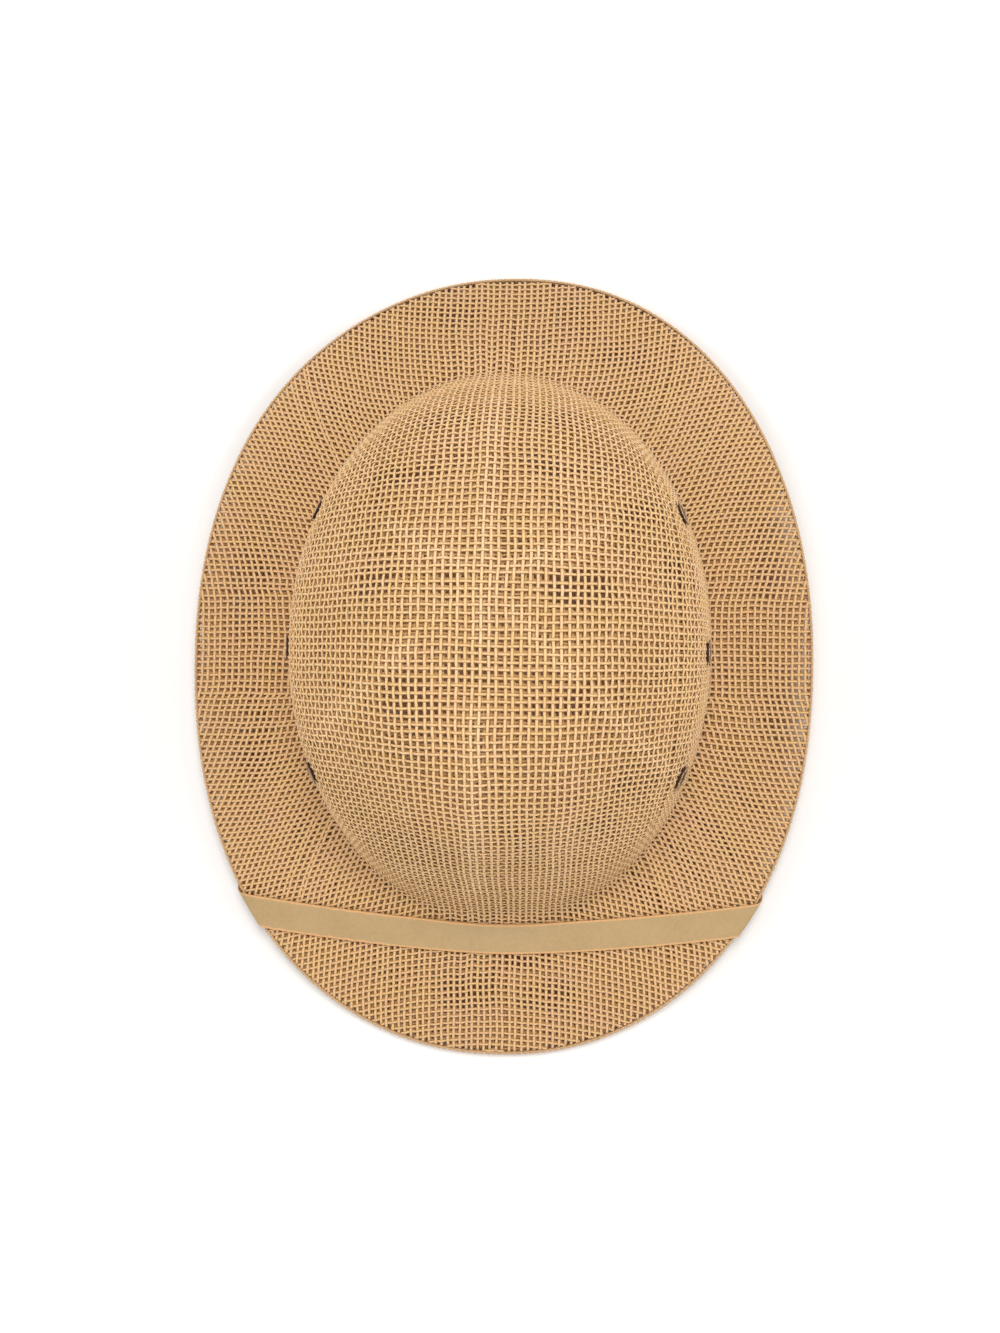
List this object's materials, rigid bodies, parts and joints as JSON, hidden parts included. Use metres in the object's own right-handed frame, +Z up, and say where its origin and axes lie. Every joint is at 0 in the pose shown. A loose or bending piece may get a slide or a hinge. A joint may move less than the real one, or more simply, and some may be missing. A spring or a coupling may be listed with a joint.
{
  "type": "pith helmet",
  "caption": "Stiff sun helmet moulded from two plies of open netting, with a rounded crown, a sloping brim, metal eyelets in the crown sides and a flat strap over the front of the brim.",
  "frame": {"origin": "middle of the overall box in X and Y, at the floor that the brim rests on", "axes": "+Z up; -Y to the front of the helmet, where the strap lies; +X across the brim"},
  "size_m": [0.275, 0.3479, 0.1158],
  "materials": {
    "netting": "stiffened open net of tan yarn",
    "edge": "overcast yarn, stiffened",
    "strap": "smooth coated strap, satin",
    "eyelet": "dark brown enamel on metal, glossy"
  },
  "bodies": {
    "root": {"outer_mesh": "netting", "inner_mesh": "netting", "brim_edge": "edge", "chin_strap": "strap", "eyelet_right_front": "eyelet", "eyelet_right_side": "eyelet", "eyelet_right_back": "eyelet", "eyelet_left_back": "eyelet", "eyelet_left_side": "eyelet", "eyelet_left_front": "eyelet"}
  },
  "joints": []
}
